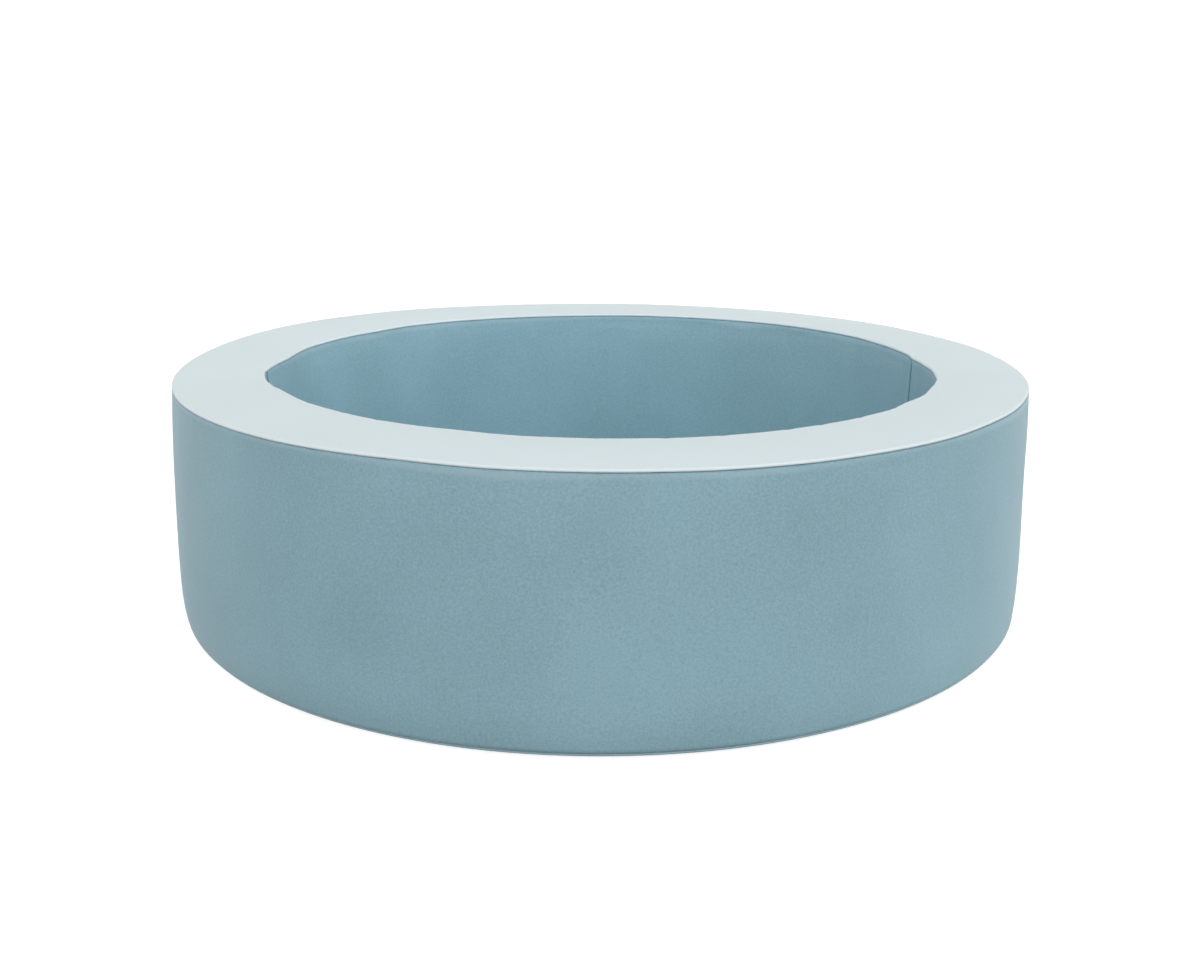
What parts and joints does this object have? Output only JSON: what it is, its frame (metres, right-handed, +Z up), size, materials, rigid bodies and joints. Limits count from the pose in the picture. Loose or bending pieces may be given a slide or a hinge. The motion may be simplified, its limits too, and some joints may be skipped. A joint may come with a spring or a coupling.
{
  "type": "ball pit",
  "caption": "Round soft ball pit: a foam ring wall in a sewn, zipped leatherette cover, with a padded floor mat that lifts out.",
  "frame": {"origin": "centre of the ring's underside, on the floor", "axes": "+Z up; -Y towards the near side seen in the picture; +Y towards the far side, whose outer wall has the zip; +X to the picture's right"},
  "size_m": [1.101, 1.1001, 0.305],
  "materials": {
    "foam": "matt open foam",
    "wall_leatherette": "fine-grained satin leatherette",
    "top_leatherette": "fine-grained satin leatherette",
    "underside_cloth": "matt woven cloth",
    "zip_tape": "matt woven tape",
    "zip_coil": "satin moulded coil",
    "zip_metal": "satin painted metal"
  },
  "bodies": {
    "pit_ring": {"wall_foam_near": "foam", "wall_foam_far": "foam", "outer_wall_panel_near": "wall_leatherette", "outer_wall_panel_far": "wall_leatherette", "inner_wall_panel_near": "wall_leatherette", "inner_wall_panel_far": "wall_leatherette", "top_ring_panel": "top_leatherette", "bottom_ring_panel": "underside_cloth", "cover_zip_tape_upper": "zip_tape", "cover_zip_tape_lower": "zip_tape", "cover_zip_coil_upper": "zip_coil", "cover_zip_coil_lower": "zip_coil", "cover_zip_closed_stop": "zip_metal", "cover_zip_open_stop": "zip_metal"},
    "cover_zip_slider": {"cover_zip_slider": "zip_metal"},
    "cover_zip_pull": {"cover_zip_pull": "zip_metal"},
    "floor_mat": {"mat_foam": "foam", "mat_top_panel": "wall_leatherette", "mat_side_band": "wall_leatherette", "mat_bottom_panel": "underside_cloth", "mat_zip_tape_near": "zip_tape", "mat_zip_tape_far": "zip_tape", "mat_zip_coil_near": "zip_coil", "mat_zip_coil_far": "zip_coil", "mat_zip_closed_stop": "zip_metal", "mat_zip_open_stop": "zip_metal"},
    "mat_zip_slider": {"mat_zip_slider": "zip_metal"},
    "mat_zip_pull": {"mat_zip_pull": "zip_metal"}
  },
  "joints": [
    {"name": "floor_mat_lift", "type": "slide", "parent": "pit_ring", "child": "floor_mat", "axis": [0, 0, 1], "range_m": [0, 0.33]},
    {"name": "cover_zip_run", "type": "hinge", "parent": "pit_ring", "child": "cover_zip_slider", "pos_m": [0, 0, 0.034], "axis": [0, 0, 1], "range_deg": [0, 168.9]},
    {"name": "cover_zip_pull_swing", "type": "hinge", "parent": "cover_zip_slider", "child": "cover_zip_pull", "pos_m": [0.54065, 0.11529, 0.034], "axis": [0, 0, -1], "range_deg": [0, 165]},
    {"name": "mat_zip_run", "type": "slide", "parent": "floor_mat", "child": "mat_zip_slider", "axis": [1, 0, 0], "range_m": [0, 0.596]},
    {"name": "mat_zip_pull_swing", "type": "hinge", "parent": "mat_zip_slider", "child": "mat_zip_pull", "pos_m": [-0.2983, 0, 0.00225], "axis": [0, 1, 0], "range_deg": [0, 165]}
  ]
}
